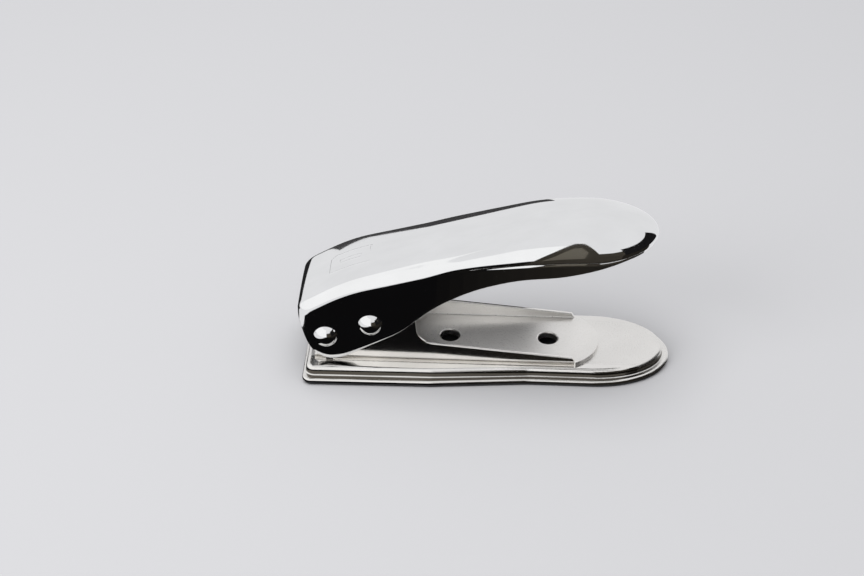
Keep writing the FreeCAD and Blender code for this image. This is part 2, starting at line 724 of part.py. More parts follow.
def make_bushes():
    inner = "( bracket_half - sheet_gauge )"
    for side, sign in SIDES:
        name = "pivot_bush_" + side
        start = inner if sign == "+" else "0 - bracket_half"
        flange = "bracket_half" if sign == "+" else "0 - bracket_half - bush_flange"
        bore = inner if sign == "+" else "0 - bracket_half - bush_flange"
        sleeve = cylinder(name + "_sleeve", "bush_radius", "sheet_gauge",
                          "pivot_x", start, "pivot_z", ALONG_Y)
        disc = cylinder(name + "_disc", "bush_flange_radius", "bush_flange",
                        "pivot_x", flange, "pivot_z", ALONG_Y)
        hole = cylinder(name + "_bore", "bush_bore", "sheet_gauge + bush_flange",
                        "pivot_x", bore, "pivot_z", ALONG_Y)
        cut(name, joined("Part::MultiFuse", name + "_blank", [sleeve, disc]), hole)


def make_washers():
    for side, sign in SIDES:
        name = "drive_washer_" + side
        face = "( lever_half - sheet_gauge )"
        start = face + " - washer_height" if sign == "+" else "0 - " + face
        disc = cylinder(name + "_disc", "washer_radius", "washer_height",
                        "drive_x", start, "drive_z", ALONG_Y)
        hole = cylinder(name + "_bore", "shank_radius", "washer_height",
                        "drive_x", start, "drive_z", ALONG_Y)
        cut(name, disc, hole)


# ---------------------------------------------------------------------------------------------
# Lever: one pressed shell, skirts over the bracket at the rear and a round spoon in front
# ---------------------------------------------------------------------------------------------
# Corners of the top line, from the tip to the rear: x, z, radius of the bend.
TIP_HEIGHT = 43.5
TOP_CORNERS = [(43.0, 49.4, 8.0), (22.5, 50.0, 45.0), (-39.9, 31.0, 40.0)]
REAR_HEIGHT, REAR_BEND = 22.4, 3.6
# Corners of the lower edge, from the rear to the spoon.
REAR_EDGE_HEIGHT, TIP_EDGE_HEIGHT = 26.5, 43.7
EDGE_CORNERS = [
    (-48.2, 2.74, 7.75), (-25.2, 15.8, 6.0), (-12.5, 28.0, 22.0),
    (2.5, 33.6, 30.0), (20.5, 37.4, 30.0), (33.0, 41.2, 20.0),
]
# Corners of one side of the plan, as x and bend radius.
SPOON_CORNER, WAIST_CORNER, SKIRT_CORNER = (22.0, 12.0), (4.0, 30.0), (-16.0, 40.0)
# Solids that are only cut with or cut out of reach this far across and up.
ACROSS, UPWARD = 60.0, 120.0


def lever_side(inset):
    """Side view of the lever above the table, or of its hollow when it is inset."""
    rear, tip = amount("lever_rear") + inset, amount("lever_tip") - inset
    nose, crest, shoulder = TOP_CORNERS
    return rounded([
        (tip, TIP_HEIGHT - inset, 0),
        (nose[0] - inset, nose[1] - inset, nose[2] - inset),
        (crest[0], crest[1] - inset, crest[2]),
        (shoulder[0], shoulder[1] - inset, shoulder[2]),
        (rear, REAR_HEIGHT - inset / 2, REAR_BEND - inset),
        (rear, 0, 0),
        (tip, 0, 0),
    ])


def lever_above():
    """Side view of all that lies above the lever's lower edge."""
    rear, tip = amount("lever_rear - 2 * overcut"), amount("lever_tip + 2 * overcut")
    corners = [(tip, ACROSS, 0), (rear, ACROSS, 0), (rear, REAR_EDGE_HEIGHT, 0)]
    return rounded(corners + EDGE_CORNERS + [(tip, TIP_EDGE_HEIGHT, 0)])


def lever_plan(inset):
    """Plan of the lever: straight skirts, slight waist, round spoon."""
    rear, half = amount("lever_rear") + inset, amount("lever_half") - inset
    side = [
        (SPOON_CORNER[0], amount("spoon_half") - inset, SPOON_CORNER[1]),
        (WAIST_CORNER[0], amount("grip_half") - inset, WAIST_CORNER[1]),
        (SKIRT_CORNER[0], half, SKIRT_CORNER[1]),
        (rear, half, amount("lever_corner") - inset),
    ]
    mirrored = [(x, -y, radius) for x, y, radius in reversed(side)]
    return nosed(side + mirrored, amount("spoon_x"), amount("lever_tip") - inset,
                 amount("spoon_half") - inset)


def extruded(name, parts, turn, length):
    """Solid made from a free outline, turned into place and drawn out both ways."""
    sketch = doc.addObject("Sketcher::SketchObject", name + "_outline")
    sketch.Placement = FreeCAD.Placement(V(0, 0, 0), turn)
    sketch.addGeometry(list(parts), False)
    solid = doc.addObject("Part::Extrusion", name)
    solid.Base = sketch
    solid.DirMode = "Normal"
    solid.Solid = True
    solid.Symmetric = True
    solid.LengthFwd = length
    return solid


def lever_solid(name, inset):
    """Rounded solid of the lever reaching down to the table, or of its hollow."""
    side = extruded(name + "_side", lever_side(inset), ON_EDGE, ACROSS)
    plan = extruded(name + "_plan", lever_plan(inset), UPRIGHT, UPWARD)
    blank = joined("Part::MultiCommon", name + "_blank", [side, plan])
    doc.recompute()
    radius = amount("lever_round") - inset
    chosen = []
    for i, edge in enumerate(blank.Shape.Edges):
        if is_top_edge(blank.Shape, edge):
            chosen.append((i + 1, radius, radius))
    fillet = doc.addObject("Part::Fillet", name)
    fillet.Base = blank
    fillet.Edges = chosen
    return fillet


def make_lever():
    outer = lever_solid("lever_outer", 0.0)
    hollow = lever_solid("lever_hollow", amount("sheet_gauge"))
    above = extruded("lever_above", lever_above(), ON_EDGE, ACROSS)
    shell = joined("Part::MultiCommon", "lever_trimmed", [cut("lever_shell", outer, hollow), above])
    holes = []
    for name, x, z in (("pivot", "pivot_x", "pivot_z"), ("drive", "drive_x", "drive_z")):
        holes.append(cylinder(name + "_hole", "shank_radius", "4 * lever_half",
                              x, "0 - 2 * lever_half", z, ALONG_Y))
    cut("handle_shell", shell, joined("Part::MultiFuse", "rivet_holes", holes))


def is_top_edge(solid, edge):
    """True for the edges between the lever's top skin and its sides."""
    faces = solid.ancestorsOfType(edge, Part.Face)
    if len(faces) != 2 or edge.BoundBox.ZMin < REAR_HEIGHT / 2:
        return False
    middle = edge.valueAt((edge.FirstParameter + edge.LastParameter) / 2)
    upward = []
    for face in faces:
        u, v = face.Surface.parameter(middle)
        upward.append(face.normalAt(u, v).z)
    return max(upward) > 0.05 and abs(min(upward)) < 1e-4


make_sole()
make_base()
make_bracket()
make_die()
make_rails()
make_guide()
make_die_screws()
make_posts()
make_springs()
make_punch_block()
make_punch()
make_punch_screws()
make_rivet("pivot_rivet", "pivot_x", "pivot_z")
make_rivet("drive_rivet", "drive_x", "drive_z")
make_bushes()
make_washers()
make_lever()
doc.recompute()

NODES = [
    "base_shell", "base_sole", "bracket", "die_block", "card_rail_left", "card_rail_right",
    "card_stop", "guide_plate", "die_screws", "guide_posts",
    "return_spring_rear_left", "return_spring_rear_right",
    "return_spring_front_left", "return_spring_front_right",
    "punch_block", "punch", "punch_screws", "pivot_rivet", "drive_rivet",
    "pivot_bush_left", "pivot_bush_right", "drive_washer_left", "drive_washer_right",
    "handle_shell",
]

for item in doc.Objects:
    if "Invalid" in item.State or "Error" in item.State:
        raise RuntimeError(item.Name + " failed: " + ", ".join(item.State))
pieces = {name: doc.getObject(name) for name in NODES}
for name, piece in pieces.items():
    if piece is None or piece.Shape.isNull() or not piece.Shape.isValid():
        raise RuntimeError(name + " has no valid shape")

os.makedirs("parts", exist_ok=True)
for name, piece in pieces.items():
    piece.Label = name
    piece.Shape.exportStep("parts/" + name + ".step")
    box = piece.Shape.BoundBox
    print("%-26s %9.2f mm3  x %.2f..%.2f  y %.2f..%.2f  z %.2f..%.2f" % (
        name, piece.Shape.Volume, box.XMin, box.XMax, box.YMin, box.YMax, box.ZMin, box.ZMax))
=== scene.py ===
"""Looks of a card blank hand punch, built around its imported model.

All places come from the model's frame. Lengths in the settings are in metres. Outlines are worked
out in millimetres and scaled once, when a mesh is made.
"""

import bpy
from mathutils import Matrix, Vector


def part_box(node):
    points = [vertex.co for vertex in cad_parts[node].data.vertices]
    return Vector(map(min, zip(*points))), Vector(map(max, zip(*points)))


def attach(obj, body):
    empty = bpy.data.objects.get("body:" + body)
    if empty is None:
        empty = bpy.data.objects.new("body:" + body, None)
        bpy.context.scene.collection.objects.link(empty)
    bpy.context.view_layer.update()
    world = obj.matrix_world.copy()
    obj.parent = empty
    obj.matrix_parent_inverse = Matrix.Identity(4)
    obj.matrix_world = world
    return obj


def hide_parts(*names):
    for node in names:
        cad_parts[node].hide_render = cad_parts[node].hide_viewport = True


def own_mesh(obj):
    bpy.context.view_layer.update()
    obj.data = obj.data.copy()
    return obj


bl_info = {
    "name": "Card blank hand punch",
    "version": (1, 0, 0),
    "blender": (4, 5, 0),
    "location": "3D View > Sidebar > Hand Punch",
    "description": "Builds the pressed chrome lever, the springs, the finishes and the stage of a"
                   " hand punch",
    "category": "Mesh",
}

import bisect
import math

import bpy
from bpy.props import FloatProperty, FloatVectorProperty, PointerProperty
from mathutils import Vector

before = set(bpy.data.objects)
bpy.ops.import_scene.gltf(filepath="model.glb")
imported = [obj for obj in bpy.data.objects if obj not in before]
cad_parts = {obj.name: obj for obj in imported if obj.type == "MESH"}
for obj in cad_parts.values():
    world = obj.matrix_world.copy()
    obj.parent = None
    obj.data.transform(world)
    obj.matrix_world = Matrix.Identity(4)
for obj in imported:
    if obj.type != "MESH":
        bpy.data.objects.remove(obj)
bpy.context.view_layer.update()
MM = 0.001


# ------------------------------------------------------------------------------------------------
# Shared shape helpers
# ------------------------------------------------------------------------------------------------
def span(node):
    """Lowest and highest corner of a CAD node, in millimetres."""
    low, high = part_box(node)
    return low / MM, high / MM


def softened(x, corners):
    """Height at x of a line through (x, height, blend) corners, each eased over its blend."""
    slopes = [(b[1] - a[1]) / (b[0] - a[0]) for a, b in zip(corners, corners[1:])]
    starts = [corner[0] for corner in corners]
    i = min(max(bisect.bisect_right(starts, x) - 1, 0), len(slopes) - 1)
    height = corners[i][1] + slopes[i] * (x - starts[i])
    for j in (i, i + 1):
        if 0 < j < len(slopes) and abs(x - starts[j]) < corners[j][2]:
            blend, turn = corners[j][2], slopes[j] - slopes[j - 1]
            before = corners[j][1] + slopes[j - 1] * (x - starts[j])
            height = before + turn * (x - starts[j] + blend) ** 2 / (4 * blend)
    return height


def eased(x, start, end):
    """0 before start, 1 after end, and smooth between them."""
    t = min(max((x - start) / (end - start), 0.0), 1.0)
    return t * t * (3 - 2 * t)


def mixed(a, b, t):
    return a + (b - a) * t


def new_piece(name, points, faces, material, smooth=True):
    """Mesh object from points in millimetres."""
    mesh = bpy.data.meshes.new(name)
    mesh.from_pydata([Vector(p) * MM for p in points], [], faces)
    mesh.validate()
    mesh.polygons.foreach_set("use_smooth", [smooth] * len(mesh.polygons))
    mesh.materials.append(material)
    mesh.update()
    piece = bpy.data.objects.new(name, mesh)
    bpy.context.scene.collection.objects.link(piece)
    return piece


# ------------------------------------------------------------------------------------------------
# Settings
# ------------------------------------------------------------------------------------------------
LEVER_LOW, LEVER_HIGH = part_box("handle_shell")


class LeverSizes(bpy.types.PropertyGroup):
    rear: FloatProperty(name="Rear end", description="Rear end of the lever", unit="LENGTH",
                        default=LEVER_LOW.x)
    tip: FloatProperty(name="Tip", description="Front tip of the lever", unit="LENGTH",
                       default=LEVER_HIGH.x)
    gauge: FloatProperty(name="Sheet", description="Thickness of the pressed sheet", unit="LENGTH",
                         default=0.001)
    skirt_half: FloatProperty(name="Skirt half width", description="Half width over the skirts",
                              unit="LENGTH", default=0.0133)
    waist_half: FloatProperty(name="Waist half width", unit="LENGTH", default=0.0131,
                              description="Half width of the lip at the waist")
    lip_half: FloatProperty(name="Lip half width", unit="LENGTH", default=0.0134,
                            description="Half width of the lip under the spoon")
    belly: FloatProperty(name="Belly", description="How far the spoon bellies out over the lip",
                         unit="LENGTH", default=0.0009)
    corner: FloatProperty(name="Rear corner", description="Plan radius of the rear corners",
                          unit="LENGTH", default=0.0038)


class SpringSizes(bpy.types.PropertyGroup):
    turns: FloatProperty(name="Turns", description="Turns of each return spring", default=7.0,
                         min=3)
    wire: FloatProperty(name="Wire", description="Radius of the wire", unit="LENGTH",
                        default=0.00022)


class FinishColours(bpy.types.PropertyGroup):
    chrome: FloatVectorProperty(name="Chrome", description="Polished lever and rivets",
                                subtype="COLOR", size=3, default=(0.90, 0.905, 0.91), min=0, max=1)
    nickel: FloatVectorProperty(name="Nickel", description="Bracket and base", subtype="COLOR",
                                size=3, default=(0.90, 0.885, 0.86), min=0, max=1)
    # Painted dark reflection: a dark colour laid on the nickel of the base's step in place of the
    # dark table that it mirrors.
    painted_step_reflection: FloatVectorProperty(name="Step_reflection_paint", description="Dull nickel in the base's step",
                                 subtype="COLOR", size=3, default=(0.11, 0.10, 0.085), min=0, max=1)
    steel: FloatVectorProperty(name="Tool steel", description="Die, punch and guides",
                               subtype="COLOR", size=3, default=(0.56, 0.56, 0.57), min=0, max=1)
    wire: FloatVectorProperty(name="Spring wire", description="Springs and washers",
                              subtype="COLOR", size=3, default=(0.66, 0.66, 0.67), min=0, max=1)
    blackened: FloatVectorProperty(name="Blackened steel", description="Screws", subtype="COLOR",
                                   size=3, default=(0.06, 0.06, 0.065), min=0, max=1)
    brass: FloatVectorProperty(name="Brass", description="Pivot bushes", subtype="COLOR",
                               size=3, default=(0.80, 0.60, 0.30), min=0, max=1)
    rubber: FloatVectorProperty(name="Rubber", description="Sole", subtype="COLOR",
                                size=3, default=(0.022, 0.022, 0.024), min=0, max=1)


class StageSettings(bpy.types.PropertyGroup):
    floor: FloatVectorProperty(name="Floor", description="Colour of the floor", subtype="COLOR",
                               size=3, default=(0.38, 0.38, 0.39), min=0, max=1)
    table: FloatVectorProperty(name="Dark table", subtype="COLOR", size=3,
                               description="What the polished sides mirror below",
                               default=(0.012, 0.0115, 0.012), min=0, max=1)
    fold: FloatVectorProperty(name="Light fold", description="Lighter fold of the brown cloth",
                              subtype="COLOR", size=3, default=(0.16, 0.145, 0.115), min=0, max=1)
    brown: FloatVectorProperty(name="Brown cloth", subtype="COLOR", size=3,
                               description="What the front of the lever mirrors",
                               default=(0.055, 0.048, 0.038), min=0, max=1)
    white: FloatVectorProperty(name="White screen", description="What the near shoulder mirrors",
                               subtype="COLOR", size=3, default=(1.0, 1.0, 1.0), min=0, max=1)
    grey: FloatVectorProperty(name="Grey screen", subtype="COLOR", size=3,
                              description="What the lever mirrors low behind it",
                              default=(0.055, 0.054, 0.055), min=0, max=1)
    azimuth: FloatProperty(name="Azimuth", description="Camera turn about the upright axis",
                           subtype="ANGLE", default=math.radians(3.0))
    elevation: FloatProperty(name="Elevation", description="Camera height angle", subtype="ANGLE",
                             default=math.radians(35.9))
    distance: FloatProperty(name="Distance", description="Camera to the aim point", unit="LENGTH",
                            default=0.546)
    lens: FloatProperty(name="Lens", description="Focal length in millimetres", default=77.08)
    aim_right: FloatProperty(name="Aim right", description="Aim point to the right of the origin",
                             unit="LENGTH", default=-0.01632)
    aim_up: FloatProperty(name="Aim up", description="Aim point above the origin, across the view",
                          unit="LENGTH", default=0.01865)


# ------------------------------------------------------------------------------------------------
# Finishes
# ------------------------------------------------------------------------------------------------
# Painted dark reflection in the base's step, a dark band laid on the nickel: its heights, how it
# fades out, and how much its edge wobbles.
STEP_HEIGHTS, STEP_FADE, STEP_WOBBLE = (0.0023, 0.0040), 0.0003, 0.0004
# Worn strip along the middle: half width, how it fades out, and the roughness that it adds.
WORN_HALF, WORN_FADE, WORN_ROUGHNESS = 0.0104, 0.0002, 0.17
SATIN_ROUGHNESS = (0.10, 0.17)
CHROME_ROUGHNESS = (0.025, 0.085)


def new_finish(name, colour, metal, rough):
    """Principled material; returns the material, its node tree and the shader."""
    material = bpy.data.materials.new(name)
    material.use_nodes = True
    tree = material.node_tree
    shader = tree.nodes["Principled BSDF"]
    shader.inputs["Base Color"].default_value = (*colour, 1)
    shader.inputs["Metallic"].default_value = metal
    shader.inputs["Roughness"].default_value = rough
    material.diffuse_color = (*colour, 1)
    return material, tree, shader


def object_noise(tree, scale, detail=2.0, stretch=(1, 1, 1)):
    """Noise fixed to the object, stretched along its axes; returns its value socket."""
    place = tree.nodes.new("ShaderNodeTexCoord")
    mapping = tree.nodes.new("ShaderNodeMapping")
    noise = tree.nodes.new("ShaderNodeTexNoise")
    mapping.inputs["Scale"].default_value = stretch
    noise.inputs["Scale"].default_value = scale
    noise.inputs["Detail"].default_value = detail
    tree.links.new(place.outputs["Object"], mapping.inputs["Vector"])
    tree.links.new(mapping.outputs["Vector"], noise.inputs["Vector"])
    return noise.outputs["Fac"]


def spread(tree, value, low, high, start=0.35, end=0.65):
    """Map a noise value onto low..high."""
    node = tree.nodes.new("ShaderNodeMapRange")
    ends = (("From Min", start), ("From Max", end), ("To Min", low), ("To Max", high))
    for socket, number in ends:
        node.inputs[socket].default_value = number
    tree.links.new(value, node.inputs["Value"])
    return node.outputs["Result"]


def tinted(tree, value, dark, light):
    """Colour that goes from dark to light with a noise value."""
    ramp = tree.nodes.new("ShaderNodeValToRGB")
    ramp.color_ramp.elements[0].position = 0.3
    ramp.color_ramp.elements[0].color = (*dark, 1)
    ramp.color_ramp.elements[1].position = 0.7
    ramp.color_ramp.elements[1].color = (*light, 1)
    tree.links.new(value, ramp.inputs["Fac"])
    return ramp.outputs["Color"]


def roughen(tree, shader, height, distance, strength=1.0):
    """Bump the surface by a height value over a distance in metres."""
    bump = tree.nodes.new("ShaderNodeBump")
    bump.inputs["Strength"].default_value = strength
    bump.inputs["Distance"].default_value = distance
    tree.links.new(height, bump.inputs["Height"])
    tree.links.new(bump.outputs["Normal"], shader.inputs["Normal"])


def near_middle(tree, half):
    """1 within half metres of the middle plane, falling to 0 just beyond."""
    place = tree.nodes.new("ShaderNodeTexCoord")
    axes = tree.nodes.new("ShaderNodeSeparateXYZ")
    across = tree.nodes.new("ShaderNodeMath")
    across.operation = "ABSOLUTE"
    tree.links.new(place.outputs["Object"], axes.inputs["Vector"])
    tree.links.new(axes.outputs["Y"], across.inputs[0])
    return spread(tree, across.outputs["Value"], 1.0, 0.0, half, half + WORN_FADE)


def shaded(colour, factor):
    return tuple(channel * factor for channel in colour)


def make_chrome(colours):
    """Mirror plate with a faint orange peel and wiped haze."""
    material, tree, shader = new_finish("polished_chrome", colours.chrome, 1.0, 0.04)
    haze = object_noise(tree, 90.0, 4.0, (1, 2.2, 1))
    tree.links.new(spread(tree, haze, *CHROME_ROUGHNESS), shader.inputs["Roughness"])
    tone = tinted(tree, haze, shaded(colours.chrome, 0.95), colours.chrome)
    tree.links.new(tone, shader.inputs["Base Color"])
    roughen(tree, shader, object_noise(tree, 420.0, 1.0), 0.000004)
    return material


def at_step(tree, wobble):
    """Mask of the painted dark reflection: 1 on the base's riser between flange and deck, with a
    wobbly edge, and 0 elsewhere.
    """
    place = tree.nodes.new("ShaderNodeTexCoord")
    axes = tree.nodes.new("ShaderNodeSeparateXYZ")
    height = tree.nodes.new("ShaderNodeMath")
    height.operation = "MULTIPLY_ADD"
    height.inputs[1].default_value = STEP_WOBBLE
    both = tree.nodes.new("ShaderNodeMath")
    both.operation = "MULTIPLY"
    tree.links.new(place.outputs["Object"], axes.inputs["Vector"])
    tree.links.new(wobble, height.inputs[0])
    tree.links.new(axes.outputs["Z"], height.inputs[2])
    low, high = STEP_HEIGHTS
    above = spread(tree, height.outputs["Value"], 0.0, 1.0, low, low + STEP_FADE)
    below = spread(tree, height.outputs["Value"], 1.0, 0.0, high - STEP_FADE, high)
    tree.links.new(above, both.inputs[0])
    tree.links.new(below, both.inputs[1])
    return both.outputs["Value"]


def make_nickel(colours):
    """Bright satin plate with a fine grain, duller where cards and fingers slide, with a painted
    dark reflection on the base's step.
    """
    material, tree, shader = new_finish("satin_nickel", colours.nickel, 1.0, 0.22)
    cloud = object_noise(tree, 60.0, 3.0)
    grain = object_noise(tree, 3200.0, 2.0)
    worn = near_middle(tree, WORN_HALF)
    rough = tree.nodes.new("ShaderNodeMath")
    rough.operation = "MULTIPLY_ADD"
    rough.inputs[1].default_value = WORN_ROUGHNESS
    tree.links.new(worn, rough.inputs[0])
    tree.links.new(spread(tree, grain, *SATIN_ROUGHNESS), rough.inputs[2])
    tree.links.new(rough.outputs["Value"], shader.inputs["Roughness"])
    tone = tinted(tree, cloud, shaded(colours.nickel, 0.90), colours.nickel)
    # Painted dark reflection: the dark step colour is mixed into the nickel on the base's riser.
    shadow = tree.nodes.new("ShaderNodeMix")
    shadow.data_type = "RGBA"
    shadow.inputs["B"].default_value = (*colours.painted_step_reflection, 1)
    tree.links.new(at_step(tree, cloud), shadow.inputs["Factor"])
    tree.links.new(tone, shadow.inputs["A"])
    tree.links.new(shadow.outputs["Result"], shader.inputs["Base Color"])
    roughen(tree, shader, grain, 0.000004)
    return material


def make_ground_steel(name, colour, rough, along):
    """Steel with the fine parallel marks of a grinding wheel."""
    material, tree, shader = new_finish(name, colour, 1.0, rough)
    marks = object_noise(tree, 900.0, 4.0, along)
    tree.links.new(spread(tree, marks, rough * 0.8, rough * 1.5), shader.inputs["Roughness"])
    tree.links.new(tinted(tree, marks, shaded(colour, 0.82), colour), shader.inputs["Base Color"])
    roughen(tree, shader, marks, 0.000006)
    return material


def make_rubber(colours):
    """Matt moulded rubber with dust in its pores."""
    material, tree, shader = new_finish("sole_rubber", colours.rubber, 0.0, 0.7)
    pores = object_noise(tree, 2600.0, 3.0)
    dust = object_noise(tree, 140.0, 5.0)
    tree.links.new(spread(tree, pores, 0.55, 0.85), shader.inputs["Roughness"])
    light = tuple(channel + 0.02 for channel in colours.rubber)
    tree.links.new(tinted(tree, dust, colours.rubber, light), shader.inputs["Base Color"])
    roughen(tree, shader, pores, 0.00003)
    return material


def finish_for(slot):
    """The material of a record slot, made once."""
    return bpy.data.materials[slot]


# ------------------------------------------------------------------------------------------------
# Lever: the shape of the pressed shell
# ------------------------------------------------------------------------------------------------
# Lines along the lever, as (x, value, blend) corners in millimetres.
TOP_LINE = ((-54.2, 23.8, 0), (-40.5, 32.2, 6.0), (22.5, 51.7, 14.0), (47.4, 48.9, 0))
CREASE_LINE = (
    (-20.0, 34.4, 0), (-6.0, 38.2, 8.0), (18.0, 41.4, 9.0), (35.0, 42.2, 5.0), (48.0, 44.3, 0),
)
LOWER_EDGE = (
    (-54.2, 19.7, 0), (-51.0, 9.8, 1.8), (-46.5, 5.9, 2.4), (-41.5, 6.5, 2.4), (-24.8, 16.1, 2.5),
    (-15.0, 25.4, 4.0), (-4.0, 31.6, 5.0), (8.0, 35.4, 5.0), (21.5, 37.0, 5.0), (33.0, 40.5, 4.0),
    (38.5, 42.0, 0.9), (48.0, 43.6, 0),
)
SHOULDER_LINE = ((-60.0, 2.6, 0), (-38.0, 3.2, 8.0), (28.0, 12.6, 6.0), (60.0, 13.0, 0))
CROWN_LINE = ((-60.0, 1.2, 0), (-25.0, 1.2, 10.0), (20.0, 0.9, 8.0), (60.0, 0.9, 0))
SPINE_REAR, SPINE_FRONT = -48.5, 33.0
SPOON_START = 28.0
RIVET_HOLE = 2.0
# Roundness of the rolled lower edge, as a share of the sheet, and the steps across it.
ROLL, RIM_STEPS = 0.22, 5
# Steps of the outline across the rear, round its corner, along the side and round the spoon.
REAR_STEPS, CORNER_STEPS, SIDE_STEPS, SPOON_STEPS = 7, 14, 90, 36
# Steps of a section over the top, round the shoulder, and round and between the wall's corners.
TOP_STEPS, SHOULDER_STEPS, ARC_STEPS, LEG_STEPS = 12, 18, 5, 3
# Where the spoon starts to belly, the wall starts to be formed and the tip starts.
BULGE_SPAN, FORMED_SPAN, TIP_SPAN = (-12.0, 14.0), (-19.0, -8.0), (34.0, 45.0)
# How far a wall turns to the rear before it counts as the rear wall.
REAR_TURN = (0.2, 1.0)
REAR_SHOULDER = 2.6


def lip_half_width(x, sizes):
    """Half width over the skirts, and over the lip further forward."""
    skirt, waist, lip = (size / MM for size in (sizes.skirt_half, sizes.waist_half, sizes.lip_half))
    corners = ((-60.0, skirt, 0), (-18.0, skirt, 9.0), (4.0, waist, 9.0), (21.0, lip, 7.0),
               (60.0, lip, 0))
    return softened(x, corners)


def lever_outline(sizes):
    """Plan of the skirts and lip, all the way round: (x, y, outward x, outward y)."""
    rear, tip, corner = sizes.rear / MM, sizes.tip / MM, sizes.corner / MM
    side = lip_half_width(rear, sizes)
    half = [(rear, (side - corner) * i / REAR_STEPS, -1.0, 0.0) for i in range(REAR_STEPS)]
    for i in range(CORNER_STEPS):
        angle = math.radians(90.0 * i / CORNER_STEPS)
        across, along = math.sin(angle), math.cos(angle)
        half.append((rear + corner * (1 - along), side - corner * (1 - across), -along, across))
    for i in range(SIDE_STEPS):
        x = mixed(rear + corner, SPOON_START, i / SIDE_STEPS)
        slope = (lip_half_width(x + 0.1, sizes) - lip_half_width(x - 0.1, sizes)) / 0.2
        length = math.hypot(slope, 1.0)
        half.append((x, lip_half_width(x, sizes), -slope / length, 1 / length))
    width, reach = lip_half_width(SPOON_START, sizes), tip - sizes.belly / MM - SPOON_START
    for i in range(SPOON_STEPS + 1):
        angle = math.radians(90.0 * i / SPOON_STEPS)
        across, along = math.cos(angle), math.sin(angle)
        length = math.hypot(along / reach, across / width)
        half.append((SPOON_START + reach * along, width * across,
                     along / reach / length, across / width / length))
    half[-1] = (half[-1][0], 0.0, 1.0, 0.0)
    return half + [(x, -y, out_x, -out_y) for x, y, out_x, out_y in reversed(half[1:-1])]


def top_height(x, y, sizes):
    """Height of the top skin before its shoulders drop away."""
    share = y / (lip_half_width(x, sizes) + 1.0)
    return softened(x, TOP_LINE) - softened(x, CROWN_LINE) * share * share


def wall_corners(x, out_x, top, sizes):
    """Corners of the wall's section, as (outward, height), from shoulder to lower edge."""
    bulge = eased(x, *BULGE_SPAN)
    tip = eased(x, *TIP_SPAN)
    belly = sizes.belly / MM * bulge
    lower = softened(x, LOWER_EDGE)
    crease = softened(x, CREASE_LINE)
    plain_end = top - mixed(3.6, 1.6, eased(-out_x, *REAR_TURN))
    plain = [mixed(plain_end, lower, share) for share in (0, 0.1, 0.2, 0.3, 1)]
    lip = max(crease - lower, 0.7)
    under = mixed(mixed(0.7, 1.1, bulge), 0.6, tip)
    ledge = min(0.6, lip * 0.45)
    pressed = [crease + under, crease + under * 0.62, crease, crease - ledge, crease - lip]
    formed = eased(x, *FORMED_SPAN)
    heights = [mixed(a, b, formed) for a, b in zip(plain, pressed)]
    indent = mixed(-0.4, 0.5, tip) * bulge
    offsets = [belly, belly, indent, mixed(0.0, 0.42, tip) * bulge, mixed(0.0, 0.36, tip) * bulge]
    return list(zip(offsets, heights))


def eased_chain(corners, blends, arc_steps, leg_steps):
    """Points along a chain whose inner corners are eased, always the same number of them."""
    points = []
    last = corners[0]
    for i in range(1, len(corners) - 1):
        before, here, after = (Vector(corners[j]) for j in (i - 1, i, i + 1))
        into, out = before - here, after - here
        start = here + into * min(0.45, blends[i - 1] / into.length)
        end = here + out * min(0.45, blends[i - 1] / out.length)
        points += [Vector(last).lerp(start, step / leg_steps) for step in range(leg_steps)]
        for step in range(arc_steps):
            t = step / arc_steps
            points.append(start * (1 - t) ** 2 + here * 2 * t * (1 - t) + end * t * t)
        last = end
    legs = leg_steps * 3
    points += [Vector(last).lerp(Vector(corners[-1]), step / legs) for step in range(legs + 1)]
    return points


def lever_column(station, sizes):
    """Outer points of one section, from the spine over the shoulder to the lower edge."""
    x, y, out_x, out_y = station
    spine = Vector((min(max(x, SPINE_REAR), SPINE_FRONT), 0.0))
    rim, outward = Vector((x, y)), Vector((out_x, out_y))
    corners = wall_corners(x, out_x, top_height(x, y, sizes), sizes)
    belly, end = corners[0]
    reach = mixed(softened(x, SHOULDER_LINE), REAR_SHOULDER, eased(-out_x, *REAR_TURN))
    widest = rim + outward * belly
    reach = min(reach, (widest - spine).length * 0.96)
    start = widest - outward * reach if x < SPINE_FRONT else widest.lerp(spine, 0.96)
    drop = top_height(widest.x, widest.y, sizes) - end
    column = []
    for i in range(TOP_STEPS):
        plan = spine.lerp(start, i / TOP_STEPS)
        column.append(Vector((plan.x, plan.y, top_height(plan.x, plan.y, sizes))))
    for i in range(SHOULDER_STEPS):
        angle = math.radians(90.0 * i / SHOULDER_STEPS)
        plan = start.lerp(widest, math.sin(angle))
        height = top_height(plan.x, plan.y, sizes) - drop * (1 - math.cos(angle))
        column.append(Vector((plan.x, plan.y, height)))
    for offset, height in eased_chain(corners, (0.5, 0.22, 0.3), ARC_STEPS, LEG_STEPS):
        plan = rim + outward * offset
        column.append(Vector((plan.x, plan.y, height)))
    return column


def grid_faces(columns, keys):
    """Quads between neighbouring columns of vertex numbers; shared vertices leave triangles."""
    faces = []
    for i in range(len(columns)):
        here, following = columns[i], columns[(i + 1) % len(columns)]
        for a, b, c, d in zip(here, here[1:], following[1:], following):
            face = [keys[a], keys[b], keys[c], keys[d]]
            face = [v for k, v in enumerate(face) if v != face[k - 1]]
            if len(face) > 2:
                faces.append(face)
    return faces


